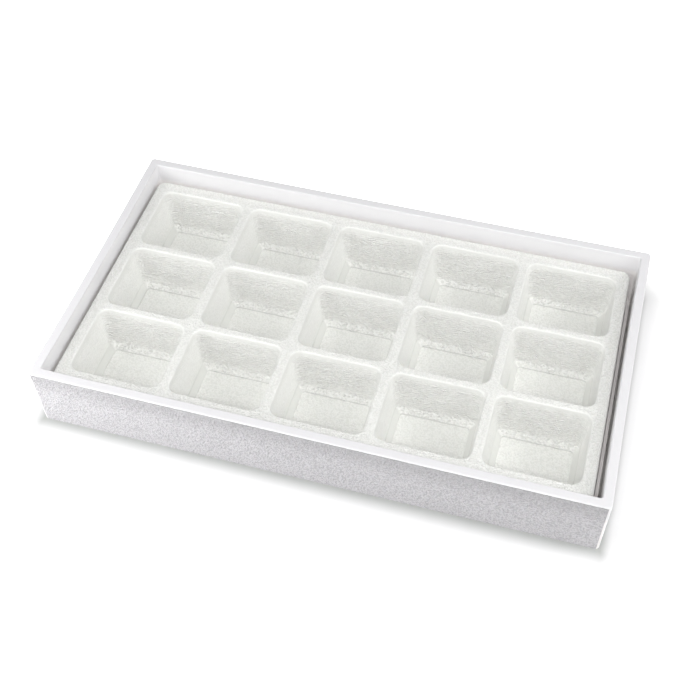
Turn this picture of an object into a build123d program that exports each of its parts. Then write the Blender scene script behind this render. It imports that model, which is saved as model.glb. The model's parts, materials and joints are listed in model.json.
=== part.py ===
from build123d import *
import math
import os

# Mineral specimen box: a moulded plastic tray with a hollow wall, and a loose formed
# sheet insert that divides it into compartments.
# Frame: millimetres, +Z up, +X along the length, -Y towards the user.
# The origin is the middle of the underside.

# ---------------------------------------------------------------- driving dimensions
# outer tray
TRAY_LENGTH = 374.65            # 14 3/4 in over the rim
TRAY_WIDTH = 209.55             # 8 1/4 in over the rim
TRAY_HEIGHT = 50.8              # 2 in
RIM_WIDTH = 6.35                # flat top of the hollow wall
SKIN = 2.0                      # inner and outer skin of the hollow wall
RIM_THICKNESS = 2.4             # top web that joins the two skins
FLOOR_THICKNESS = 2.4
OUTER_DRAFT = 1.0               # degrees, outside faces lean in towards the base
INNER_DRAFT = 0.5               # degrees, inside faces lean in towards the floor
OUTER_CORNER_RADIUS = 2.5
INNER_CORNER_RADIUS = 1.6
RIM_OUTER_ROUND = 1.7
RIM_INNER_ROUND = 0.8
BASE_ROUND = 0.8
WEB_THICKNESS = 1.5             # stiffening webs inside the hollow wall
WEB_FOOT_GAP = 4.0              # how far the webs stop above the base
LONG_SIDE_WEBS = 5
SHORT_SIDE_WEBS = 3

# compartment insert
COLUMNS = 5
ROWS = 3
SHEET = 1.0                     # thickness of the formed sheet
INSERT_PLAY = 1.575             # rim opening to insert base, each side (1/16 in)
SEAT_GAP = 0.3                  # left between skirt and wall where the insert lies against it
RIM_TO_DECK = 11.4              # how far the deck lies below the rim
SKIRT_FLARE = 2.5               # the skirt runs out by this much from deck to base
DECK_CORNER_RADIUS = 5.5
DECK_ROUND = 1.4                # outer edge of the deck
LIP_ROUND = 1.4                 # edge of each compartment
END_MARGIN = 8.25               # deck edge to the end compartments, along X
SIDE_MARGIN = 8.85              # deck edge to the side compartments, along Y
COLUMN_RIB = 6.7                # deck between two columns
ROW_RIB = 5.6                   # deck between two rows
POCKET_CORNER_RADIUS = 7.0
POCKET_DRAFT = 6.0              # degrees, compartment walls
LEDGE_WIDTH = 3.7               # sloped ledge round the compartment floor
LEDGE_DROP = 3.0
LEDGE_CORNER_RADIUS = 4.0
STEP_HEIGHT = 1.0               # small step from the ledge down to the floor panel
STEP_INSET = 0.3
PANEL_CORNER_RADIUS = 2.4

# ---------------------------------------------------------------- worked-out sizes
opening_length = TRAY_LENGTH - 2 * RIM_WIDTH
opening_width = TRAY_WIDTH - 2 * RIM_WIDTH
outer_inset = TRAY_HEIGHT * math.tan(math.radians(OUTER_DRAFT))
inner_inset = (TRAY_HEIGHT - FLOOR_THICKNESS) * math.tan(math.radians(INNER_DRAFT))

deck_z = TRAY_HEIGHT - RIM_TO_DECK
insert_height = deck_z - FLOOR_THICKNESS
base_length = opening_length - 2 * INSERT_PLAY
base_width = opening_width - 2 * INSERT_PLAY
deck_length = base_length - 2 * SKIRT_FLARE
deck_width = base_width - 2 * SKIRT_FLARE
seat_shift = INSERT_PLAY - inner_inset - SEAT_GAP
insert_x = -seat_shift
insert_y = -seat_shift

pocket_length = (deck_length - 2 * END_MARGIN - (COLUMNS - 1) * COLUMN_RIB) / COLUMNS
pocket_width = (deck_width - 2 * SIDE_MARGIN - (ROWS - 1) * ROW_RIB) / ROWS
pitch_x = pocket_length + COLUMN_RIB
pitch_y = pocket_width + ROW_RIB
pocket_depth = insert_height - SHEET
wall_depth = pocket_depth - LEDGE_DROP - STEP_HEIGHT
wall_inset = wall_depth * math.tan(math.radians(POCKET_DRAFT))


def rounded_plate(length, width, radius, x=0.0, y=0.0, z=0.0):
    """A rounded rectangle lying at height z."""
    return Pos(x, y, z) * RectangleRounded(length, width, radius)


def stack(sections):
    """A solid through level sections, with straight walls between them."""
    return loft([section.face() for section in sections], ruled=True)


def top_edges(shape):
    """Edges of the highest level face."""
    return shape.edges().group_by(Axis.Z)[-1]


def bottom_edges(shape):
    """Edges of the lowest level face."""
    return shape.edges().group_by(Axis.Z)[0]


def mouth_edges(shape):
    """Edges of the openings in the highest level face."""
    top = shape.faces().sort_by(Axis.Z)[-1]
    return [edge for wire in top.inner_wires() for edge in wire.edges()]


# ---------------------------------------------------------------- outer tray
def tray_outside():
    """Outside of the tray, rounded at the base and at the rim."""
    body = stack([
        rounded_plate(TRAY_LENGTH - 2 * outer_inset, TRAY_WIDTH - 2 * outer_inset, OUTER_CORNER_RADIUS),
        rounded_plate(TRAY_LENGTH, TRAY_WIDTH, OUTER_CORNER_RADIUS, z=TRAY_HEIGHT),
    ])
    body = fillet(top_edges(body), RIM_OUTER_ROUND)
    return fillet(bottom_edges(body), BASE_ROUND)


def tray_cavity():
    """Space inside the walls, above the floor."""
    return stack([
        rounded_plate(opening_length - 2 * inner_inset, opening_width - 2 * inner_inset,
                      INNER_CORNER_RADIUS, z=FLOOR_THICKNESS),
        rounded_plate(opening_length, opening_width, INNER_CORNER_RADIUS, z=TRAY_HEIGHT),
    ])


def wall_channel():
    """Hollow between the two skins of the wall, open underneath."""
    channel_top = TRAY_HEIGHT - RIM_THICKNESS
    lean_out = channel_top * math.tan(math.radians(OUTER_DRAFT))
    lean_in = channel_top * math.tan(math.radians(INNER_DRAFT))
    inner_foot_length = opening_length - 2 * inner_inset + 2 * SKIN
    inner_foot_width = opening_width - 2 * inner_inset + 2 * SKIN
    outer_foot_length = TRAY_LENGTH - 2 * outer_inset - 2 * SKIN
    outer_foot_width = TRAY_WIDTH - 2 * outer_inset - 2 * SKIN
    outside = stack([
        rounded_plate(outer_foot_length, outer_foot_width, OUTER_CORNER_RADIUS),
        rounded_plate(outer_foot_length + 2 * lean_out, outer_foot_width + 2 * lean_out,
                      OUTER_CORNER_RADIUS, z=channel_top),
    ])
    inside = stack([
        rounded_plate(inner_foot_length, inner_foot_width, INNER_CORNER_RADIUS),
        rounded_plate(inner_foot_length + 2 * lean_in, inner_foot_width + 2 * lean_in,
                      INNER_CORNER_RADIUS, z=channel_top),
    ])
    return outside - inside


def channel_webs():
    """Stiffening webs across the hollow wall, on all four sides."""
    web_height = TRAY_HEIGHT - RIM_THICKNESS - WEB_FOOT_GAP
    web_span = RIM_WIDTH + 2 * outer_inset
    web_z = WEB_FOOT_GAP + web_height / 2
    webs = []
    for number in range(LONG_SIDE_WEBS):
        x = TRAY_LENGTH * ((number + 0.5) / LONG_SIDE_WEBS - 0.5)
        for side in (-1, 1):
            y = side * (TRAY_WIDTH - RIM_WIDTH) / 2
            webs.append(Pos(x, y, web_z) * Box(WEB_THICKNESS, web_span, web_height))
    for number in range(SHORT_SIDE_WEBS):
        y = TRAY_WIDTH * ((number + 0.5) / SHORT_SIDE_WEBS - 0.5)
        for side in (-1, 1):
            x = side * (TRAY_LENGTH - RIM_WIDTH) / 2
            webs.append(Pos(x, y, web_z) * Box(web_span, WEB_THICKNESS, web_height))
    return webs


def make_outer_tray():
    """Floor and four hollow walls, one moulding."""
    shell = tray_outside() - tray_cavity()
    shell = fillet(mouth_edges(shell), RIM_INNER_ROUND)
    hollow = wall_channel()
    for web in channel_webs():
        hollow -= web
    return shell - hollow


# ---------------------------------------------------------------- compartment insert
def pocket_centres():
    """Middle of each compartment, front row first."""
    for row in range(ROWS):
        for column in range(COLUMNS):
            yield (
                insert_x + (column - (COLUMNS - 1) / 2) * pitch_x,
                insert_y + (row - (ROWS - 1) / 2) * pitch_y,
            )


def pocket_cavity(x, y):
    """Space inside one compartment: drafted walls, sloped ledge, step and floor panel."""
    ledge_length = pocket_length - 2 * wall_inset
    ledge_width = pocket_width - 2 * wall_inset
    foot_length = ledge_length - 2 * LEDGE_WIDTH
    foot_width = ledge_width - 2 * LEDGE_WIDTH
    ledge_z = deck_z - wall_depth
    step_z = ledge_z - LEDGE_DROP
    return stack([
        rounded_plate(foot_length - 2 * STEP_INSET, foot_width - 2 * STEP_INSET,
                      PANEL_CORNER_RADIUS, x, y, step_z - STEP_HEIGHT),
        rounded_plate(foot_length, foot_width, PANEL_CORNER_RADIUS, x, y, step_z),
        rounded_plate(ledge_length, ledge_width, LEDGE_CORNER_RADIUS, x, y, ledge_z),
        rounded_plate(pocket_length, pocket_width, POCKET_CORNER_RADIUS, x, y, deck_z),
    ])


def pocket_outside(x, y):
    """Outside of one formed compartment, one sheet thickness larger than its cavity."""
    ledge_length = pocket_length - 2 * wall_inset + 2 * SHEET
    ledge_width = pocket_width - 2 * wall_inset + 2 * SHEET
    foot_length = ledge_length - 2 * LEDGE_WIDTH
    foot_width = ledge_width - 2 * LEDGE_WIDTH
    return stack([
        rounded_plate(foot_length, foot_width, PANEL_CORNER_RADIUS + SHEET, x, y, FLOOR_THICKNESS),
        rounded_plate(ledge_length, ledge_width, LEDGE_CORNER_RADIUS + SHEET, x, y,
                      deck_z - wall_depth - SHEET / 2),
        rounded_plate(pocket_length + 2 * SHEET, pocket_width + 2 * SHEET,
                      POCKET_CORNER_RADIUS + SHEET, x, y, deck_z),
    ])


def insert_block(offset, top_z):
    """The insert's outer form, drawn in by an offset, from its base up to top_z."""
    return stack([
        rounded_plate(base_length - 2 * offset, base_width - 2 * offset,
                      DECK_CORNER_RADIUS + SKIRT_FLARE - offset, insert_x, insert_y, FLOOR_THICKNESS),
        rounded_plate(deck_length - 2 * offset, deck_width - 2 * offset,
                      DECK_CORNER_RADIUS - offset, insert_x, insert_y, top_z),
    ])


def make_insert():
    """Deck, ribs, skirt and compartments, one formed sheet."""
    block = insert_block(0, deck_z)
    block = fillet(top_edges(block), DECK_ROUND)
    underside = insert_block(SHEET, deck_z - SHEET)
    for x, y in pocket_centres():
        underside -= pocket_outside(x, y)
    insert = block - underside
    for x, y in pocket_centres():
        insert -= pocket_cavity(x, y)
    return fillet(mouth_edges(insert), LIP_ROUND)


# ---------------------------------------------------------------- write the parts
os.makedirs("parts", exist_ok=True)
for name, shape in (("outer_tray", make_outer_tray()), ("compartment_insert", make_insert())):
    export_step(shape, f"parts/{name}.step")
    box = shape.bounding_box()
    print(f"{name}: volume {shape.volume / 1000:.1f} cm3, z {box.min.Z:.2f} to {box.max.Z:.2f}")
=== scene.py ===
import json
import math

import bmesh
import bpy
from mathutils import Matrix, Vector

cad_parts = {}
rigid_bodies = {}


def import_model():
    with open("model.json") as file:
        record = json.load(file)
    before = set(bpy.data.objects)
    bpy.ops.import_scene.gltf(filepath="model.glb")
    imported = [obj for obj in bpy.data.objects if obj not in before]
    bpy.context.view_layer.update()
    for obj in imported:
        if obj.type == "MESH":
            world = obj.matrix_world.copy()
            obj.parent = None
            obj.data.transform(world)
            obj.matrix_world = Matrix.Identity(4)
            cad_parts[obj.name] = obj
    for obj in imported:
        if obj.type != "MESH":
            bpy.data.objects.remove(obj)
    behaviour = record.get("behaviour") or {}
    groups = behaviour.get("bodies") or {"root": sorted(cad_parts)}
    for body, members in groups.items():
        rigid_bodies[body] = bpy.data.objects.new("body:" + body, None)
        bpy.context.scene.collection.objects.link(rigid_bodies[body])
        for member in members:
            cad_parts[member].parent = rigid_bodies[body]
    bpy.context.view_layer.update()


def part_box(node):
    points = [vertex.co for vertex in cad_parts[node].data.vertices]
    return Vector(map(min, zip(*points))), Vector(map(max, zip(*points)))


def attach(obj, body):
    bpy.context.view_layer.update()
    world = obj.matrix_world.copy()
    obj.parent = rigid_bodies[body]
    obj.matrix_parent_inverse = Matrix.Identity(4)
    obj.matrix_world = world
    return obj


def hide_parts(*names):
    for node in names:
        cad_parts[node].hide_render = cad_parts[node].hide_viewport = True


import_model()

# Mineral specimen box: a moulded tray with a hollow wall, and a loose formed sheet
# insert with rounded compartments. Metres, +Z up, +X along the length, -Y to the user.

MM = 0.001
_, tray_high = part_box("outer_tray")
insert_low, insert_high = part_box("compartment_insert")

# ------------------------------------------------------------------ driving sizes
# outer tray
TRAY_HEIGHT = tray_high.z
TRAY_LENGTH = 374.65 * MM
TRAY_WIDTH = 209.55 * MM
RIM_WIDTH = 6.35 * MM
SKIN = 2.0 * MM                     # thickness of each skin of the hollow wall
RIM_THICKNESS = 2.4 * MM
FLOOR_THICKNESS = 2.4 * MM
OUTER_DRAFT = 1.0                   # degrees
INNER_DRAFT = 0.5
OUTER_CORNER_RADIUS = 2.5 * MM
INNER_CORNER_RADIUS = 1.6 * MM
RIM_OUTER_ROUND = 1.0 * MM
RIM_TRIM = 0.015 * MM               # the rim starts this far in, to stay inside the solids' box
RIM_INNER_ROUND = 0.8 * MM
BASE_ROUND = 0.8 * MM
WEB_THICKNESS = 1.5 * MM
WEB_FOOT_GAP = 4.0 * MM             # the webs stop this far above the table
LONG_SIDE_WEBS = 5
SHORT_SIDE_WEBS = 3
BOW_BACK = 0.7 * MM                 # the moulding's sides draw in at the middle of the rim
BOW_RIGHT = 0.8 * MM
BOW_LEFT = 1.2 * MM
BOW_POWER = 4                       # 2 would be an even curve, 4 turns in nearer the corners

# compartment insert
COLUMNS = 5
ROWS = 3
SHEET = 1.0 * MM                    # thickness of the sheet
SKIRT_FLARE = 2.5 * MM
DECK_CORNER_RADIUS = 5.5 * MM
DECK_ROUND = 1.4 * MM
LIP_ROUND = 1.4 * MM
END_MARGIN = 8.25 * MM              # from the deck's edge to the nearest compartments
SIDE_MARGIN = 8.85 * MM
COLUMN_RIB = 6.7 * MM
ROW_RIB = 5.6 * MM
POCKET_CORNER_RADIUS = 7.0 * MM
POCKET_DRAFT = 6.0                  # degrees
LEDGE_WIDTH = 3.7 * MM
LEDGE_DROP = 3.0 * MM
LEDGE_CORNER_RADIUS = 4.0 * MM
STEP_HEIGHT = 1.0 * MM
STEP_INSET = 0.3 * MM
PANEL_CORNER_RADIUS = 2.4 * MM
LEDGE_ROUND = 1.0 * MM              # rounds at the ledge's top, at its foot and at the panel
STEP_ROUND = 0.3 * MM
PANEL_ROUND = 0.25 * MM
CRINKLE_LENGTH = 2.0 * MM
CRINKLE_HEIGHT = 0.3 * MM
CRINKLE_RISE = 5 * MM               # the ledge's waves go this far up the wall

# mesh density
CORNER_SEGMENTS = 6
RIM_OUTER_SEGMENTS = 6
RIM_INNER_SEGMENTS = 4
BASE_SEGMENTS = 3
LIP_SEGMENTS = 6
LEDGE_SEGMENTS = 4
STEP_SEGMENTS = 2
DECK_EDGE_SEGMENTS = 6
TRAY_SEGMENTS = (24, 14)            # straight sides of the tray, long and short
POCKET_SEGMENTS = (18, 14)          # straight sides of one compartment
PANEL_RINGS = (0.86, 0.8, 0.7, 0.5)  # of the compartment's floor, each a share of the one before
TRAY_WALL_CUTS = 6
POCKET_WALL_CUTS = 9
SKIRT_CUTS = 5
MOST_CUTS = 100                     # as many as one subdivision makes
CAGE_POINTS = (5, 5, 2)
TRAY_SMOOTH_ANGLE = 35              # degrees, below which an edge is shaded smooth
SHEET_SMOOTH_ANGLE = 40

# how near counts as the same place
SAME = 1e-6
SQUARE = 1e-7                       # the ends of an edge that runs along an axis
WELD = 0.01 * MM
SLACK = 0.1 * MM
NEAR = 0.2 * MM
STEEP = 0.5                         # a face whose normal rises less than this is a wall
FLAT = 0.9                          # and one whose normal rises more than this is level

# ------------------------------------------------------------------ worked-out sizes
outer_inset = TRAY_HEIGHT * math.tan(math.radians(OUTER_DRAFT))
inner_inset = (TRAY_HEIGHT - FLOOR_THICKNESS) * math.tan(math.radians(INNER_DRAFT))

deck_z = insert_high.z
insert_centre = (insert_low + insert_high) / 2
base_size = (insert_high.x - insert_low.x, insert_high.y - insert_low.y)
deck_size = (base_size[0] - 2 * SKIRT_FLARE, base_size[1] - 2 * SKIRT_FLARE)
pocket_size = (
    (deck_size[0] - 2 * END_MARGIN - (COLUMNS - 1) * COLUMN_RIB) / COLUMNS,
    (deck_size[1] - 2 * SIDE_MARGIN - (ROWS - 1) * ROW_RIB) / ROWS,
)
pitch = (pocket_size[0] + COLUMN_RIB, pocket_size[1] + ROW_RIB)
pocket_depth = deck_z - FLOOR_THICKNESS - SHEET
wall_depth = pocket_depth - LEDGE_DROP - STEP_HEIGHT
wall_inset = wall_depth * math.tan(math.radians(POCKET_DRAFT))
ledge_z = deck_z - wall_depth
step_z = ledge_z - LEDGE_DROP
panel_z = step_z - STEP_HEIGHT


# ------------------------------------------------------------------ modelling by hand
def edit():
    bpy.ops.object.mode_set(mode="EDIT")


def done():
    bpy.ops.object.mode_set(mode="OBJECT")


def deselect():
    bpy.ops.object.select_all(action="DESELECT")


def pick_edges(test):
    """Selects the edges of the mesh being edited that pass the test, and nothing else."""
    mesh = bpy.context.edit_object.data
    shape = bmesh.from_edit_mesh(mesh)
    bpy.ops.mesh.select_mode(type="EDGE")
    bpy.ops.mesh.select_all(action="DESELECT")
    for edge in shape.edges:
        if test(edge):
            edge.select_set(True)
    bmesh.update_edit_mesh(mesh)


def level(edge, z):
    """True for an edge that lies at height z."""
    return all(abs(corner.co.z - z) < SAME for corner in edge.verts)


def level_loop(edge):
    """True for an edge between a level face and a steep one, so not one across the rim."""
    slopes = sorted(abs(face.normal.z) for face in edge.link_faces)
    return len(slopes) == 2 and slopes[0] < STEEP < slopes[1]


def upright(edge, height):
    """True for an edge that climbs by more than half the height of its wall."""
    return abs(edge.verts[0].co.z - edge.verts[1].co.z) > 0.5 * height


def keep_edges(test):
    """Of the edges already selected, keeps those that pass the test."""
    shape = bmesh.from_edit_mesh(bpy.context.edit_object.data)
    chosen = {edge for edge in shape.edges if edge.select and test(edge)}
    pick_edges(lambda edge: edge in chosen)


def ring(size, radius, centre, z, segments):
    """Adds a rounded rectangle of edges at height z, and names it as a vertex group."""
    piece = bpy.context.edit_object
    bpy.ops.mesh.select_mode(type="VERT")
    bpy.ops.mesh.primitive_plane_add(size=1, location=(centre[0], centre[1], z))
    bpy.ops.transform.resize(
        value=(size[0], size[1], 1), center_override=(centre[0], centre[1], z)
    )
    along, across = segments
    if radius > 0:
        bpy.ops.mesh.bevel(offset=radius, segments=CORNER_SEGMENTS, affect="VERTICES")
    else:
        along += CORNER_SEGMENTS
        across += CORNER_SEGMENTS
    group = piece.vertex_groups.new(name="ring")
    bpy.ops.object.vertex_group_assign()
    bpy.ops.mesh.delete(type="ONLY_FACE")
    straight = 0.4 * min(size)          # longer than any edge of a rounded corner
    for axis, cuts in ((1, along - 1), (0, across - 1)):
        select_rings(group.name)
        keep_edges(
            lambda edge: edge.calc_length() > straight
            and abs(edge.verts[0].co[axis] - edge.verts[1].co[axis]) < SQUARE
        )
        if cuts > MOST_CUTS:
            bpy.ops.mesh.subdivide(number_cuts=1)
            cuts = (cuts + 1) // 2 - 1
        bpy.ops.mesh.subdivide(number_cuts=cuts)
    bpy.ops.mesh.select_linked()
    piece.vertex_groups.active_index = group.index
    bpy.ops.object.vertex_group_assign()
    return group.name


def select_rings(*names):
    """Selects whole rings of the mesh being edited, and nothing else."""
    piece = bpy.context.edit_object
    bpy.ops.mesh.select_mode(type="EDGE")
    bpy.ops.mesh.select_all(action="DESELECT")
    for name in names:
        piece.vertex_groups.active_index = piece.vertex_groups[name].index
        bpy.ops.object.vertex_group_select()


def bridge(first, second):
    """Joins two rings of the mesh being edited with a band of faces."""
    select_rings(first, second)
    bpy.ops.mesh.bridge_edge_loops()


def bridge_flat(first, second):
    """Joins two rings at one height. The second is lifted meanwhile, to keep them in step."""
    select_rings(second)
    bpy.ops.transform.translate(value=(0, 0, MM))
    bridge(first, second)
    select_rings(second)
    bpy.ops.transform.translate(value=(0, 0, -MM))


def cap(name):
    """Closes one ring of the mesh being edited with a face."""
    select_rings(name)
    bpy.ops.mesh.edge_face_add()


def new_piece(name):
    """Starts an empty mesh piece at the origin and opens it for editing."""
    deselect()
    bpy.ops.mesh.primitive_plane_add(size=MM)
    piece = bpy.context.object
    piece.name = name
    piece.data.name = name
    edit()
    bpy.ops.mesh.delete(type="VERT")
    return piece


def apply_modifiers(piece):
    deselect()
    piece.select_set(True)
    bpy.context.view_layer.objects.active = piece
    for modifier in list(piece.modifiers):
        bpy.ops.object.modifier_apply(modifier=modifier.name)


def smooth(piece, angle):
    """Shades a piece smooth, with its flat faces kept flat and its hard edges kept hard."""
    deselect()
    piece.select_set(True)
    bpy.context.view_layer.objects.active = piece
    bpy.ops.object.shade_smooth_by_angle(angle=math.radians(angle))
    flats = piece.modifiers.new("flats", "WEIGHTED_NORMAL")
    flats.keep_sharp = True
    apply_modifiers(piece)


# ------------------------------------------------------------------ outer tray
def tray_ring(inset, radius, z):
    size = (TRAY_LENGTH - 2 * inset, TRAY_WIDTH - 2 * inset)
    return ring(size, radius, (0, 0), z, TRAY_SEGMENTS)


def tray_shell():
    """The tray's closed skin: outside, rim, inside, floor and the hollow in its wall."""
    tray = new_piece("tray_moulding")
    channel_top = TRAY_HEIGHT - RIM_THICKNESS
    channel_out = outer_inset + SKIN
    channel_in = RIM_WIDTH + inner_inset - SKIN
    lean_out = channel_top * math.tan(math.radians(OUTER_DRAFT))
    lean_in = channel_top * math.tan(math.radians(INNER_DRAFT))
    loops = [
        tray_ring(channel_in, INNER_CORNER_RADIUS, 0),
        tray_ring(channel_in - lean_in, INNER_CORNER_RADIUS, channel_top),
        tray_ring(channel_out - lean_out, OUTER_CORNER_RADIUS, channel_top),
        tray_ring(channel_out, OUTER_CORNER_RADIUS, 0),
        tray_ring(outer_inset, OUTER_CORNER_RADIUS, 0),
        tray_ring(RIM_TRIM, OUTER_CORNER_RADIUS, TRAY_HEIGHT),
        tray_ring(RIM_WIDTH, INNER_CORNER_RADIUS, TRAY_HEIGHT),
        tray_ring(RIM_WIDTH + inner_inset, INNER_CORNER_RADIUS, FLOOR_THICKNESS),
    ]
    for first, second, third in zip(loops[0::2], loops[1::2], loops[2::2] + [None]):
        bridge(first, second)
        if third:
            bridge_flat(second, third)
    cap(loops[0])
    cap(loops[-1])
    bpy.ops.mesh.select_all(action="SELECT")
    bpy.ops.mesh.normals_make_consistent(inside=False)

    # rounded edges of the rim and the base
    half = Vector((TRAY_LENGTH / 2, TRAY_WIDTH / 2))
    rim_middle = RIM_WIDTH / 2

    def outside(edge):
        place = (edge.verts[0].co + edge.verts[1].co) / 2
        return max(abs(place.x) - half.x, abs(place.y) - half.y) > -rim_middle

    pick_edges(lambda edge: level(edge, TRAY_HEIGHT) and outside(edge) and level_loop(edge))
    bpy.ops.mesh.bevel(offset=RIM_OUTER_ROUND, segments=RIM_OUTER_SEGMENTS, affect="EDGES")
    pick_edges(lambda edge: level(edge, TRAY_HEIGHT) and not outside(edge) and level_loop(edge))
    bpy.ops.mesh.bevel(offset=RIM_INNER_ROUND, segments=RIM_INNER_SEGMENTS, affect="EDGES")
    pick_edges(
        lambda edge: level(edge, 0) and level_loop(edge)
        and max(abs(edge.verts[0].co.x) - half.x, abs(edge.verts[0].co.y) - half.y) > -SKIN
    )
    bpy.ops.mesh.bevel(offset=BASE_ROUND, segments=BASE_SEGMENTS, affect="EDGES")

    # upright edges are divided, so that the sides can bow
    pick_edges(lambda edge: upright(edge, TRAY_HEIGHT))
    bpy.ops.mesh.subdivide(number_cuts=TRAY_WALL_CUTS)
    done()
    return tray


def web(x, y, size):
    """One stiffening web in the hollow wall."""
    height = TRAY_HEIGHT - RIM_THICKNESS / 2 - WEB_FOOT_GAP
    deselect()
    bpy.ops.mesh.primitive_cube_add(size=1, location=(x, y, WEB_FOOT_GAP + height / 2))
    bpy.ops.transform.resize(value=(size[0], size[1], height))
    bpy.ops.object.transform_apply(location=True, rotation=True, scale=True)
    return bpy.context.object


def tray_webs():
    """All stiffening webs, from skin to skin, as one mesh."""
    middle = (outer_inset + RIM_WIDTH) / 2
    span = RIM_WIDTH - outer_inset - SKIN
    webs = []
    for number in range(LONG_SIDE_WEBS):
        x = TRAY_LENGTH * ((number + 0.5) / LONG_SIDE_WEBS - 0.5)
        for side in (-1, 1):
            webs.append(web(x, side * (TRAY_WIDTH / 2 - middle), (WEB_THICKNESS, span)))
    for number in range(SHORT_SIDE_WEBS):
        y = TRAY_WIDTH * ((number + 0.5) / SHORT_SIDE_WEBS - 0.5)
        for side in (-1, 1):
            webs.append(web(side * (TRAY_LENGTH / 2 - middle), y, (span, WEB_THICKNESS)))
    deselect()
    for item in webs:
        item.select_set(True)
    bpy.context.view_layer.objects.active = webs[0]
    bpy.ops.object.join()
    return webs[0]


def bow_cage(tray):
    """Draws the back, left and right walls in at the middle of the rim, as the mould cools."""
    deselect()
    bpy.ops.object.add(type="LATTICE", location=(0, 0, TRAY_HEIGHT / 2))
    cage = bpy.context.object
    cage.data.points_u, cage.data.points_v, cage.data.points_w = CAGE_POINTS
    cage.scale = (TRAY_LENGTH, TRAY_WIDTH, TRAY_HEIGHT)
    for point in cage.data.points:
        u, v, w = point.co
        rise = w + 0.5
        in_x = (1 - (2 * v) ** BOW_POWER) * rise
        in_y = (1 - (2 * u) ** BOW_POWER) * rise
        moved = Vector((u, v, w))
        if u > 0:
            moved.x -= 2 * u * BOW_RIGHT * in_x / TRAY_LENGTH
        else:
            moved.x -= 2 * u * BOW_LEFT * in_x / TRAY_LENGTH
        if v > 0:
            moved.y -= 2 * v * BOW_BACK * in_y / TRAY_WIDTH
        point.co_deform = moved
    bpy.context.view_layer.update()
    bow = tray.modifiers.new("bow", "LATTICE")
    bow.object = cage
    apply_modifiers(tray)
    bpy.data.objects.remove(cage)


def make_tray():
    tray = tray_shell()
    webs = tray_webs()
    join = tray.modifiers.new("webs", "BOOLEAN")
    join.operation = "UNION"
    join.solver = "EXACT"
    join.object = webs
    apply_modifiers(tray)
    bpy.data.objects.remove(webs)
    bow_cage(tray)
    tray.vertex_groups.clear()
    smooth(tray, TRAY_SMOOTH_ANGLE)
    return tray


# ------------------------------------------------------------------ compartment insert
def one_pocket(centre):
    """Upper side of one compartment with its share of the deck round it."""
    pocket = new_piece("pocket")
    ledge = (pocket_size[0] - 2 * wall_inset, pocket_size[1] - 2 * wall_inset)
    foot = (ledge[0] - 2 * LEDGE_WIDTH, ledge[1] - 2 * LEDGE_WIDTH)
    panel = (foot[0] - 2 * STEP_INSET, foot[1] - 2 * STEP_INSET)
    loops = [
        ring(pitch, 0, centre, deck_z, POCKET_SEGMENTS),
        ring(pocket_size, POCKET_CORNER_RADIUS, centre, deck_z, POCKET_SEGMENTS),
        ring(ledge, LEDGE_CORNER_RADIUS, centre, ledge_z, POCKET_SEGMENTS),
        ring(foot, PANEL_CORNER_RADIUS, centre, step_z, POCKET_SEGMENTS),
        ring(panel, PANEL_CORNER_RADIUS, centre, panel_z, POCKET_SEGMENTS),
    ]
    bridge_flat(loops[0], loops[1])
    for first, second in zip(loops[1:], loops[2:]):
        bridge(first, second)
    cap(loops[-1])
    middle = (centre[0], centre[1], panel_z)
    for share in PANEL_RINGS:
        bpy.ops.mesh.extrude_region_move()
        bpy.ops.transform.resize(value=(share, share, 1), center_override=middle)

    # upright edges are divided, then the lip and the edges of the ledge are rounded
    pick_edges(lambda edge: upright(edge, wall_depth))
    bpy.ops.mesh.subdivide(number_cuts=POCKET_WALL_CUTS)
    lip_offset = LIP_ROUND * math.tan(math.radians((90 - POCKET_DRAFT) / 2))
    mouth = (pocket_size[0] / 2 + SLACK, pocket_size[1] / 2 + SLACK)

    def within(edge, half):
        return all(
            abs(corner.co.x - centre[0]) < half[0] and abs(corner.co.y - centre[1]) < half[1]
            for corner in edge.verts
        )

    pick_edges(lambda edge: level(edge, deck_z) and within(edge, mouth))
    bpy.ops.mesh.bevel(offset=lip_offset, segments=LIP_SEGMENTS, affect="EDGES")
    pick_edges(lambda edge: level(edge, ledge_z))
    bpy.ops.mesh.bevel(offset=LEDGE_ROUND, segments=LEDGE_SEGMENTS, affect="EDGES")
    pick_edges(lambda edge: level(edge, step_z))
    bpy.ops.mesh.bevel(offset=STEP_ROUND, segments=STEP_SEGMENTS, affect="EDGES")
    pick_edges(
        lambda edge: level(edge, panel_z)
        and any(face.normal.z < FLAT for face in edge.link_faces)
        and any(face.normal.z > FLAT for face in edge.link_faces)
    )
    bpy.ops.mesh.bevel(offset=PANEL_ROUND, segments=STEP_SEGMENTS, affect="EDGES")
    done()
    return pocket


def insert_ring(size, radius, z):
    along = COLUMNS * (POCKET_SEGMENTS[0] + CORNER_SEGMENTS) - CORNER_SEGMENTS
    across = ROWS * (POCKET_SEGMENTS[1] + CORNER_SEGMENTS) - CORNER_SEGMENTS
    return ring(size, radius, insert_centre, z, (along, across))


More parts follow.
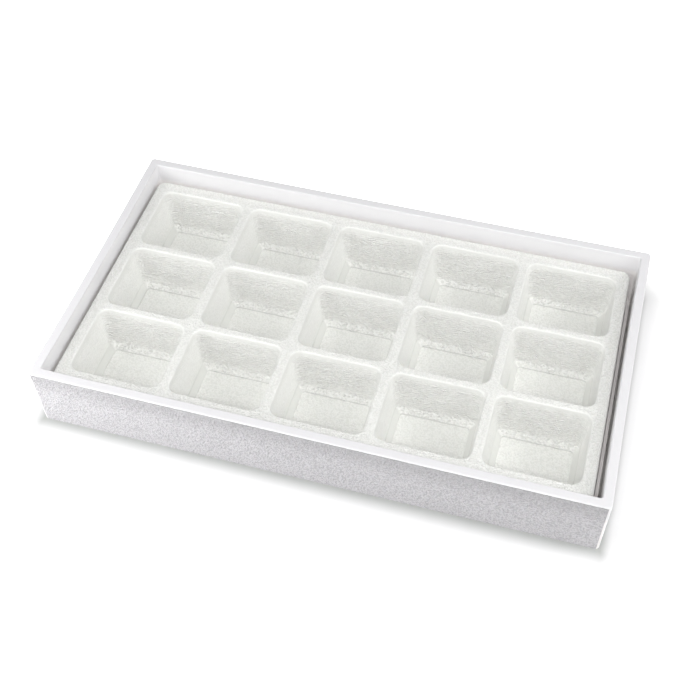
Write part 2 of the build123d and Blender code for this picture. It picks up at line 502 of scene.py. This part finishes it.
def make_skirt():
    """Rounded edge of the deck and the skirt that flares down to the tray floor."""
    skirt = new_piece("skirt")
    rings = []
    for part in range(DECK_EDGE_SEGMENTS + 1):
        turn = math.radians(90 * part / DECK_EDGE_SEGMENTS)
        draw = DECK_ROUND * (1 - math.sin(turn))
        size = (deck_size[0] - 2 * draw, deck_size[1] - 2 * draw)
        z = deck_z - DECK_ROUND * (1 - math.cos(turn))
        rings.append(insert_ring(size, DECK_CORNER_RADIUS - draw, z))
    skirt_top = deck_z - DECK_ROUND
    for part in range(1, SKIRT_CUTS + 2):
        share = part / (SKIRT_CUTS + 1)
        grow = SKIRT_FLARE * share
        size = (deck_size[0] + 2 * grow, deck_size[1] + 2 * grow)
        z = skirt_top + (FLOOR_THICKNESS - skirt_top) * share
        rings.append(insert_ring(size, DECK_CORNER_RADIUS + grow, z))
    for upper, lower in zip(rings, rings[1:]):
        bridge(upper, lower)
    done()
    skirt.vertex_groups[rings[0]].name = "skirt_top"
    return skirt


def crinkle_ledges(sheet):
    """The sheet is drawn thin along the long ledges, and comes out a little wavy there."""

    def long_side(place):
        """True nearer to the front or back of its compartment than to its ends."""
        column = (place.x - insert_centre.x) / pitch[0] + COLUMNS / 2
        row = (place.y - insert_centre.y) / pitch[1] + ROWS / 2
        off_x = abs(column % 1 - 0.5) * pitch[0] - pocket_size[0] / 2
        off_y = abs(row % 1 - 0.5) * pitch[1] - pocket_size[1] / 2
        return off_y > off_x

    edit()
    pick_edges(
        lambda edge: all(
            step_z - NEAR < corner.co.z < ledge_z + CRINKLE_RISE for corner in edge.verts
        )
        and all(
            abs(corner.co.x - insert_centre.x) < deck_size[0] / 2 - END_MARGIN
            and abs(corner.co.y - insert_centre.y) < deck_size[1] / 2 - SIDE_MARGIN
            and long_side(corner.co)
            for corner in edge.verts
        )
    )
    sheet.vertex_groups.new(name="ledges")
    bpy.ops.object.vertex_group_assign()
    done()
    waves = bpy.data.textures.new("waves", "CLOUDS")
    waves.noise_scale = CRINKLE_LENGTH
    waves.noise_depth = 1
    crinkle = sheet.modifiers.new("crinkle", "DISPLACE")
    crinkle.texture = waves
    crinkle.strength = CRINKLE_HEIGHT
    crinkle.vertex_group = "ledges"
    apply_modifiers(sheet)
    sheet.vertex_groups.clear()


def make_insert():
    """The formed sheet: compartments copied from one, then deck edge, skirt and thickness."""
    first = (
        insert_centre.x - (COLUMNS - 1) / 2 * pitch[0],
        insert_centre.y - (ROWS - 1) / 2 * pitch[1],
    )
    pocket = one_pocket(first)
    pockets = [pocket]
    for number in range(1, COLUMNS * ROWS):
        row, column = divmod(number, COLUMNS)
        deselect()
        pocket.select_set(True)
        bpy.context.view_layer.objects.active = pocket
        bpy.ops.object.duplicate()
        bpy.ops.transform.translate(value=(column * pitch[0], row * pitch[1], 0))
        pockets.append(bpy.context.object)
    deselect()
    for item in pockets:
        item.select_set(True)
    bpy.context.view_layer.objects.active = pocket
    bpy.ops.object.join()
    sheet = bpy.context.object
    sheet.name = "formed_insert"
    sheet.data.name = "formed_insert"

    edit()
    bpy.ops.mesh.select_all(action="SELECT")
    bpy.ops.mesh.remove_doubles(threshold=WELD)
    pick_edges(lambda edge: len(edge.link_faces) == 1)
    sheet.vertex_groups.clear()
    sheet.vertex_groups.new(name="deck")
    bpy.ops.object.vertex_group_assign()
    done()
    skirt = make_skirt()
    deselect()
    skirt.select_set(True)
    sheet.select_set(True)
    bpy.context.view_layer.objects.active = sheet
    bpy.ops.object.join()
    edit()
    bridge_flat("skirt_top", "deck")
    bpy.ops.mesh.select_all(action="SELECT")
    bpy.ops.mesh.normals_make_consistent(inside=False)
    shape = bmesh.from_edit_mesh(sheet.data)
    upward = sum(face.calc_area() * face.normal.z for face in shape.faces)
    if upward < 0:
        bpy.ops.mesh.flip_normals()
    done()
    sheet.vertex_groups.clear()

    crinkle_ledges(sheet)
    thick = sheet.modifiers.new("sheet", "SOLIDIFY")
    thick.thickness = SHEET
    thick.offset = -1
    thick.use_even_offset = True
    apply_modifiers(sheet)

    # the skirt's foot is cut level, to stand on the tray floor
    edit()
    pick_edges(lambda edge: all(corner.co.z < FLOOR_THICKNESS + NEAR for corner in edge.verts))
    bpy.ops.transform.resize(value=(1, 1, 0), center_override=(0, 0, FLOOR_THICKNESS))
    done()
    smooth(sheet, SHEET_SMOOTH_ANGLE)
    return sheet


# ------------------------------------------------------------------ finishes
class Value:
    """A socket that varies over a surface, written in expressions."""

    def __init__(self, finish, socket):
        self.finish = finish
        self.socket = socket

    def __add__(self, other):
        return self.finish.maths("ADD", self, other)

    __radd__ = __add__

    def __sub__(self, other):
        return self.finish.maths("SUBTRACT", self, other)

    def __rsub__(self, other):
        return self.finish.maths("SUBTRACT", other, self)

    def __mul__(self, other):
        return self.finish.maths("MULTIPLY", self, other)

    __rmul__ = __mul__

    def __gt__(self, other):
        return self.finish.maths("GREATER_THAN", self, other)

    def __lt__(self, other):
        return self.finish.maths("LESS_THAN", self, other)


class Nodes:
    """A node tree that is written in expressions."""

    def __init__(self, tree):
        self.tree = tree

    def node(self, kind, settings=(), inputs=(), out=0):
        """Adds a node: its settings are set first, then its sockets are given values or links."""
        made = self.tree.nodes.new(kind)
        for key, value in dict(settings).items():
            setattr(made, key, value)
        for key, value in dict(inputs).items():
            self.feed(made.inputs[key], value)
        return Value(self, made.outputs[out])

    def feed(self, socket, value):
        if isinstance(value, Value):
            self.tree.links.new(value.socket, socket)
        else:
            socket.default_value = value

    def maths(self, operation, first, second=0.0):
        return self.node("ShaderNodeMath", {"operation": operation}, {0: first, 1: second})

    def size_of(self, value):
        return self.maths("ABSOLUTE", value)

    def larger(self, first, second):
        return self.maths("MAXIMUM", first, second)

    def root(self, value):
        return self.maths("POWER", value, 0.5)

    def fade(self, value, start, end, low=0.0, high=1.0):
        """Goes smoothly from low to high as the value goes from start to end."""
        return self.node(
            "ShaderNodeMapRange",
            {"interpolation_type": "SMOOTHSTEP"},
            {"Value": value, "From Min": start, "From Max": end, "To Min": low, "To Max": high},
        )

    def axes(self, vector):
        split = self.tree.nodes.new("ShaderNodeSeparateXYZ")
        self.feed(split.inputs[0], vector)
        return [Value(self, socket) for socket in split.outputs]

    def vector(self, x, y, z):
        return self.node("ShaderNodeCombineXYZ", (), {0: x, 1: y, 2: z})

    def stretched(self, vector, scale):
        return self.node(
            "ShaderNodeVectorMath", {"operation": "MULTIPLY"}, {0: vector, 1: scale}
        )

    def shifted(self, vector, other):
        return self.node("ShaderNodeVectorMath", {"operation": "ADD"}, {0: vector, 1: other})

    def noise(self, vector, grain, detail=2.0, roughness=0.5, out=0):
        """Cloudy noise whose lumps are about one grain across, in metres."""
        return self.node(
            "ShaderNodeTexNoise", (),
            {"Vector": vector, "Scale": 1 / grain, "Detail": detail, "Roughness": roughness},
            out,
        )

    def pebbles(self, vector, grain, smoothness=0.4):
        """Rounded pebbles about one grain across, highest in the middle of each."""
        far = self.node(
            "ShaderNodeTexVoronoi", {"feature": "SMOOTH_F1"},
            {"Vector": vector, "Scale": 1 / grain, "Smoothness": smoothness}, "Distance",
        )
        return 1 - far

    def ripples(self, vector, spacing):
        """Level ripples one spacing apart, in metres, that wander up and down.

        At a scale of 1 the bands of this texture lie a twentieth of a full turn apart.
        """
        return self.node(
            "ShaderNodeTexWave",
            {"wave_type": "BANDS", "bands_direction": "Z", "wave_profile": "SIN"},
            {"Vector": vector, "Scale": math.tau / 20 / spacing, "Distortion": 9.0,
             "Detail": 2.0, "Detail Scale": 2.2, "Detail Roughness": 0.6},
            "Fac",
        )

    def colour(self, share, first, second):
        return self.node(
            "ShaderNodeMix", {"data_type": "RGBA"}, {0: share, 6: first, 7: second}, 2
        )

    def bump(self, height, depth):
        """Relief that rises by the depth where the height goes from 0 to 1."""
        return self.node(
            "ShaderNodeBump", (),
            {"Height": height, "Distance": depth, "Strength": 1.0}, "Normal",
        )

    def looked_at(self):
        """1 where the camera sees, also in a gloss or through glass; 0 for light that falls."""
        path = self.tree.nodes.new("ShaderNodeLightPath")
        camera, gloss, through = (
            Value(self, path.outputs[kind])
            for kind in ("Is Camera Ray", "Is Glossy Ray", "Is Transmission Ray")
        )
        return self.larger(camera, self.larger(gloss, through))


class Finish(Nodes):
    """One material, with its shader and the place on the object."""

    def __init__(self, name):
        self.material = bpy.data.materials.new(name)
        self.material.use_nodes = True
        super().__init__(self.material.node_tree)
        self.surface = self.tree.nodes["Principled BSDF"]
        self.place = self.node("ShaderNodeTexCoord", out="Object")

    def shader(self, name, value):
        """Gives one socket of the shader its number, or what varies over the surface."""
        self.feed(self.surface.inputs[name], value)

    def warped(self, place, lump, reach):
        """A place on the object that is pushed about by cloudy noise of lumps that size."""
        push = self.noise(self.place, lump, out="Color")
        return self.shifted(place, self.stretched(push, (reach, reach, reach)))

    def drift(self, lump, low, high):
        """A slow, cloudy change from low to high over the surface."""
        return self.fade(self.noise(self.place, lump, 3.0), 0.3, 0.7, low, high)


# the tray's finish
# painted shade: the rim's top is given a darker white than the inside, against the stronger light
# on it
RIM_SHADED_WHITE = (0.755, 0.75, 0.765, 1)
INSIDE_WHITE = (0.875, 0.87, 0.882, 1)
GAP_LIGHT_WHITE = (0.98, 0.955, 0.945, 1)    # painted light: paler below the deck, for the light that comes through the thin plastic into the gap round the insert
# painted shade: the grained outside is set darker than the smooth white for the lesser light on
# its sides, and darker still in the grain's pits
SHADED_GRAIN_TOP = (0.73, 0.718, 0.74, 1)
SHADED_GRAIN_PIT = (0.54, 0.529, 0.55, 1)
RIM_SHADOW_GREY = (0.34, 0.333, 0.345, 1)        # painted shadow: a dark line where the grain ends under the rim, and painted shade faintly below that
PEBBLE = 1.25 * MM
PEBBLE_SHARE = 0.6                  # of the grain, on tray and insert; the rest is fine
FINE_GRAIN = 0.8 * MM
GRAIN_WARP = (2.0 * MM, 1.5 * MM)   # lump and reach of the noise that bends the pebbles
GRAIN_RELIEF = 2.0 * MM
GRAIN_LEVELS = (0.6, 0.35)          # from the tops of the grain down to its pits
GRAIN_REACH = 0.9 * MM              # how far in from the outer face the grain goes
SMOOTH_CORNER = 1.9 * MM            # the upright corners are smooth within this of both faces
EDGE_BELOW_ROUND = 0.8              # the grain ends this share of the rim's round below its top
EDGE_RAGGED = (1.2 * MM, 0.5 * MM)  # lump and height of that edge's raggedness
RIM_SHADOW_LINE = 1.3 * MM               # height of the painted shadow line at that edge
UPPER_SHADE_BAND = 24 * MM                # painted shade: the grain is darker within this of the rim
UPPER_SHADE_FULL = 2 * MM                 # and most of all within this
UPPER_SHADE_SHARE = 0.4
GAP_LIGHT_DEPTHS = (1 * MM, 5 * MM)          # below the deck: where the painted light's paler white begins, and is whole
RIM_FULL = 0.3 * MM                 # the rim has its darker white, a painted shade, within this of its top
TRAY_DRIFT = (25 * MM, 0.32, 0.42)  # lump, and least and most roughness
GRAIN_ROUGHER = 0.18                # added where the grain is

# the insert's finish
SHEET_WHITE = (0.85, 0.853, 0.828, 1)
# painted shade: the deck's and floors' grain is darker in its pits
SHEET_PIT_SHADE = (0.77, 0.775, 0.746, 1)
STEP_SHADE_GREY = (0.68, 0.685, 0.66, 1)           # painted shade: a grey line along the step at the foot of a long ledge
SKIRT_WHITE = (0.77, 0.768, 0.75, 1)
END_LEDGE_SHADE = (0.69, 0.695, 0.668, 1)        # painted shade: the ledge along a compartment's ends is darker
FURROW_SHADE_WHITE = (0.865, 0.868, 0.842, 1)      # painted light: the walls' wrinkles are paler than the deck, with painted shade in their furrows and painted highlight on their crests
CREST_HIGHLIGHT_WHITE = (0.96, 0.962, 0.938, 1)
DRAWN_AND_GLINT_WHITE = (0.91, 0.912, 0.89, 1)         # painted highlight on the long ledges' crinkle crests, as well as the sheet paling where it is drawn thin
DECK_PEBBLE = 1.2 * MM
DECK_WARP = (3.0 * MM, 2.5 * MM)
DECK_MIDDLE = 0.53                  # middle height of the deck's grain
WRINKLE = 1.1 * MM
WRINKLE_STRETCH = (0.55, 0.55, 1.0)
WRINKLE_WARP = (7 * MM, 2 * MM)
RIPPLE = 1.9 * MM
RIPPLE_SHARE = 0.25                 # of the walls' relief; the rest is loose wrinkles
END_WALL_SHARE = 0.4                # the wrinkles are this weak on a compartment's end walls
CRINKLE = 1.2 * MM
CRINKLE_STRETCH = (0.7, 1.0, 1.0)
SHEET_RELIEF = 1.0 * MM
PANEL_RELIEF = 0.7                  # relief as a share of the deck's, here and next
WALL_RELIEF = 1.9
LEDGE_RELIEF = 2.3
SKIRT_LOSS = 0.6                    # share of its relief that the skirt lacks
PIT_LEVELS = (0.06, -0.14)          # from the tops of the deck's grain down to its pits
CREST_LEVELS = (-0.12, 0.12)        # from the walls' furrows up to their crests
CRINKLE_GLINT_LEVELS = (-0.2, 0.12)         # from the ledge's furrows up to its crests
LONG_SIDE = (0.2, 0.6)              # how far a face looks to the front or back, from ends to sides
SKIRT_START = 0.4 * MM              # the skirt begins this far in from the deck's edge
DECK_BAND = (0.5 * MM, 0.1 * MM)    # depths below the deck between which a finish comes in
WALL_BAND = (1.5 * MM, 8 * MM)
PANEL_BAND = (0.6 * MM, 0.1 * MM)   # heights above the floor panel, in the same way
LEDGE_BAND = (6 * MM, 4 * MM)
STEP_BAND = (1.2 * MM, 0.9 * MM)
SHEET_DRIFT = (15 * MM, 0.36, 0.48)


def tray_plastic():
    """White moulded plastic: pebbled outside, smooth satin rim, upright corners and inside."""
    finish = Finish("tray_plastic")
    x, y, z = finish.axes(finish.place)

    # where the grain is
    ragged = finish.noise(finish.place, EDGE_RAGGED[0], 1.0)
    edge_z = TRAY_HEIGHT - EDGE_BELOW_ROUND * RIM_OUTER_ROUND + (ragged - 0.5) * EDGE_RAGGED[1]
    drawn_in = (TRAY_HEIGHT - z) * math.tan(math.radians(OUTER_DRAFT))
    past_x = finish.size_of(x) + drawn_in - TRAY_LENGTH / 2
    past_y = finish.size_of(y) + drawn_in - TRAY_WIDTH / 2
    at_corner = (past_x > -SMOOTH_CORNER) * (past_y > -SMOOTH_CORNER)
    outside = finish.larger(past_x, past_y) > -GRAIN_REACH - BOW_LEFT
    grained = outside * (z < edge_z) * (1 - at_corner)

    # the grain's relief
    pebble = finish.pebbles(finish.warped(finish.place, *GRAIN_WARP), PEBBLE)
    fine = finish.noise(finish.place, FINE_GRAIN, 2.0, 0.6)
    grain = pebble * PEBBLE_SHARE + fine * (1 - PEBBLE_SHARE)
    height = grain * grained + (1 - grained) * 1.0
    finish.shader("Normal", finish.bump(height, GRAIN_RELIEF))

    # colours
    # painted shade: the grain is darker in its pits, and darker overall than the smooth white
    shade = finish.colour(finish.fade(grain, *GRAIN_LEVELS), SHADED_GRAIN_TOP, SHADED_GRAIN_PIT)
    # painted shadow: a dark line along the grain's top edge under the rim
    rim_shadow = finish.fade(z, edge_z - RIM_SHADOW_LINE, edge_z)
    # painted shade: the grain darkens towards the rim
    upper = finish.fade(z, TRAY_HEIGHT - UPPER_SHADE_BAND, TRAY_HEIGHT - UPPER_SHADE_FULL) * UPPER_SHADE_SHARE
    shade = finish.colour(finish.larger(rim_shadow, upper), shade, RIM_SHADOW_GREY)
    # painted light: the inside is paler below the deck, in the narrow gap round the insert
    gap_light = finish.fade(z, deck_z - GAP_LIGHT_DEPTHS[0], deck_z - GAP_LIGHT_DEPTHS[1])
    inside_white = finish.colour(gap_light, INSIDE_WHITE, GAP_LIGHT_WHITE)
    on_rim = finish.fade(z, TRAY_HEIGHT - RIM_INNER_ROUND, TRAY_HEIGHT - RIM_FULL)
    # painted shade: the rim's top takes a darker white than the inside
    smooth_white = finish.colour(on_rim, inside_white, RIM_SHADED_WHITE)
    finish.shader("Base Color", finish.colour(grained, smooth_white, shade))
    finish.shader("Roughness", grained * GRAIN_ROUGHER + finish.drift(*TRAY_DRIFT))
    return finish.material


def insert_sheet():
    """Off-white formed sheet: pebbled deck, wrinkled walls, crinkled ledge."""
    finish = Finish("insert_sheet")
    x, y, z = finish.axes(finish.place)

    # which part of the sheet this is
    on_deck = finish.fade(z, *(deck_z - depth for depth in DECK_BAND))
    on_panel = finish.fade(z, *(panel_z + rise for rise in PANEL_BAND))
    on_ledge = (1 - on_panel) * finish.fade(z, *(panel_z + rise for rise in LEDGE_BAND))
    on_step = (1 - on_panel) * finish.fade(z, *(panel_z + rise for rise in STEP_BAND))
    on_wall = (1 - on_panel - on_ledge) * finish.fade(z, *(deck_z - depth for depth in WALL_BAND))
    facing = finish.axes(finish.node("ShaderNodeTexCoord", out="Normal"))
    on_long_side = finish.fade(finish.size_of(facing[1]), *LONG_SIDE)
    beyond_x = finish.size_of(x - insert_centre.x) - (deck_size[0] / 2 - SKIRT_START)
    beyond_y = finish.size_of(y - insert_centre.y) - (deck_size[1] / 2 - SKIRT_START)
    on_skirt = finish.larger(beyond_x, beyond_y) > 0

    # pebbles on the deck and the floors, wrinkles on the walls, crinkles on the long ledges
    deck_grain = finish.pebbles(finish.warped(finish.place, *DECK_WARP), DECK_PEBBLE)
    fine = finish.noise(finish.place, FINE_GRAIN)
    pebbled = deck_grain * PEBBLE_SHARE + fine * (1 - PEBBLE_SHARE) - DECK_MIDDLE
    ripples = finish.ripples(finish.place, RIPPLE)
    drawn = finish.warped(finish.stretched(finish.place, WRINKLE_STRETCH), *WRINKLE_WARP)
    loose = finish.noise(drawn, WRINKLE, 1.0)
    wrinkles = (ripples * RIPPLE_SHARE + loose * (1 - RIPPLE_SHARE) - 0.5) * (
        END_WALL_SHARE + (1 - END_WALL_SHARE) * on_long_side
    )
    crinkle = finish.noise(finish.stretched(finish.place, CRINKLE_STRETCH), CRINKLE, 1.0)
    crinkle = (crinkle - 0.5) * on_long_side
    height = (1 - on_skirt * SKIRT_LOSS) * (
        on_deck * pebbled + on_panel * pebbled * PANEL_RELIEF
        + on_wall * wrinkles * WALL_RELIEF + on_ledge * crinkle * LEDGE_RELIEF
    )
    finish.shader("Normal", finish.bump(height, SHEET_RELIEF))

    # colours
    # painted shade: the ledges along the compartments' ends are darker
    sheet_white = finish.colour(on_ledge * (1 - on_long_side), SHEET_WHITE, END_LEDGE_SHADE)
    # painted highlight on the long ledges' crinkle crests, with the paling of the sheet drawn thin
    # there
    upper_side = finish.colour(
        on_ledge * on_long_side * finish.fade(crinkle, *CRINKLE_GLINT_LEVELS),
        finish.colour(
            on_wall,
            # painted shade: darker in the pits of the grain
            finish.colour(finish.fade(height, *PIT_LEVELS), sheet_white, SHEET_PIT_SHADE),
            # painted light on the walls: painted shade in the wrinkles' furrows, painted highlight
            # on their crests
            finish.colour(finish.fade(wrinkles, *CREST_LEVELS), FURROW_SHADE_WHITE, CREST_HIGHLIGHT_WHITE),
        ),
        DRAWN_AND_GLINT_WHITE,
    )
    # painted shade along the step at the foot of each long ledge
    upper_side = finish.colour(on_step * on_long_side, upper_side, STEP_SHADE_GREY)
    finish.shader("Base Color", finish.colour(on_skirt, upper_side, SKIRT_WHITE))
    finish.shader("Roughness", finish.drift(*SHEET_DRIFT))
    return finish.material


# ------------------------------------------------------------------ camera, floor, lights
CAMERA_PLACE = (0.14313, -0.4711, 0.64775)
CAMERA_AIM = (-0.17983, 0.63809, -0.74866)
CAMERA_ROLL = -0.4407
CAMERA_LENS = 59.399
CAMERA_SHIFT = (-0.02446, -0.11408)
SENSOR_WIDTH = 36
FARTHEST = 50


def make_camera():
    bpy.ops.object.camera_add(location=CAMERA_PLACE)
    camera = bpy.context.object
    turn = Vector(CAMERA_AIM).to_track_quat("-Z", "Y").to_matrix().to_4x4()
    roll = Matrix.Rotation(math.radians(CAMERA_ROLL), 4, "Z")
    camera.matrix_world = Matrix.Translation(CAMERA_PLACE) @ turn @ roll
    camera.data.sensor_width = SENSOR_WIDTH
    camera.data.lens = CAMERA_LENS
    camera.data.shift_x, camera.data.shift_y = CAMERA_SHIFT
    camera.data.clip_end = FARTHEST
    bpy.context.scene.camera = camera


# degrees round from the front, degrees up, metres off, side in metres, watts
SOFT_LIGHTS = (
    (9, 56, 1.4, 0.2, 8.7),
    (90, 30, 1.4, 0.8, 5.2),
    (-45, 30, 1.4, 0.8, 3.9),
    (135, 30, 1.4, 0.8, 0.4),
    (120, 60, 1.4, 0.8, 0.4),
    (45, 30, 1.4, 0.8, 2.6),
    (-50, 12, 0.45, 0.2, 0.5),
    (90, 45, 0.7, 0.4, 1.0),
    (-90, 45, 0.7, 0.4, 0.8),
    (-45, 45, 0.7, 0.4, 0.45),
    (180, 7, 1.4, 0.5, 4.0),
)


def soft_light(turn, rise, distance, side, power):
    """A square soft box that faces the middle of the table."""
    turn, rise = math.radians(turn), math.radians(rise)
    place = distance * Vector(
        (math.cos(rise) * math.sin(turn), -math.cos(rise) * math.cos(turn), math.sin(rise))
    )
    bpy.ops.object.light_add(type="AREA", location=place)
    light = bpy.context.object
    light.data.size = side
    light.data.energy = power
    light.rotation_euler = (-place).to_track_quat("-Z", "Y").to_euler()


FLOOR_WHITE = (0.80, 0.80, 0.80, 1)
# painted shadow colour, close round the box
FLOOR_PAINTED_SHADOW = (0.35, 0.365, 0.35, 1)
FLOOR_SIZE = 12
CONTACT_SHADE = 11 * MM             # painted shadow: the floor's colour greys within this of the box's front and back
END_SQUEEZE = 2.5                   # and within a smaller distance of its ends
CONTACT_INSIDE = 0.45               # it would be whole this share of the distance inside the box
SHADE_REACH = 50 * MM               # the floor looks pure white beyond this
ROOM_LEVEL = 0.045


def make_floor():
    """White table: it keeps the shade the box casts, adds a painted shadow close round it, and
    looks pure white farther off.
    """
    deselect()
    bpy.ops.mesh.primitive_plane_add(size=FLOOR_SIZE)
    floor = bpy.context.object
    floor.name = "floor"
    finish = Finish("white_table")
    x, y, _ = finish.axes(finish.place)
    beside_x = finish.larger(finish.size_of(x) - tray_high.x, 0.0)
    beside_y = finish.larger(finish.size_of(y) - tray_high.y, 0.0)
    off = finish.root(beside_x * beside_x + beside_y * beside_y)
    glow = finish.fade(off, 0.0, SHADE_REACH) * finish.looked_at()
    close = finish.root(beside_x * beside_x * END_SQUEEZE + beside_y * beside_y)
    # painted shadow: where the camera looks, the floor's colour greys close round the box
    painted_shadow = finish.fade(close, CONTACT_SHADE, -CONTACT_INSIDE * CONTACT_SHADE)
    finish.shader(
        "Base Color", finish.colour(painted_shadow * finish.looked_at(), FLOOR_WHITE, FLOOR_PAINTED_SHADOW)
    )
    finish.shader("Emission Color", finish.vector(glow, glow, glow))
    finish.shader("Emission Strength", 1.0)
    finish.shader("Roughness", 1.0)
    finish.shader("Specular IOR Level", 0.0)
    floor.data.materials.append(finish.material)


def make_room():
    """Faint light from all round; looked at, or seen in a gloss, the room is plain white."""
    world = bpy.data.worlds.new("room")
    bpy.context.scene.world = world
    world.use_nodes = True
    nodes = Nodes(world.node_tree)
    room = world.node_tree.nodes["Background"]
    room.inputs["Color"].default_value = (1, 1, 1, 1)
    nodes.feed(room.inputs["Strength"], nodes.fade(nodes.looked_at(), 0.0, 1.0, ROOM_LEVEL, 1.0))


make_camera()
make_floor()
make_room()
for setting in SOFT_LIGHTS:
    soft_light(*setting)
bpy.context.scene.view_settings.view_transform = "Standard"

tray = make_tray()
tray.data.materials.append(tray_plastic())
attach(tray, "tray")
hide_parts("outer_tray")

insert = make_insert()
insert.data.materials.append(insert_sheet())
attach(insert, "insert")
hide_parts("compartment_insert")
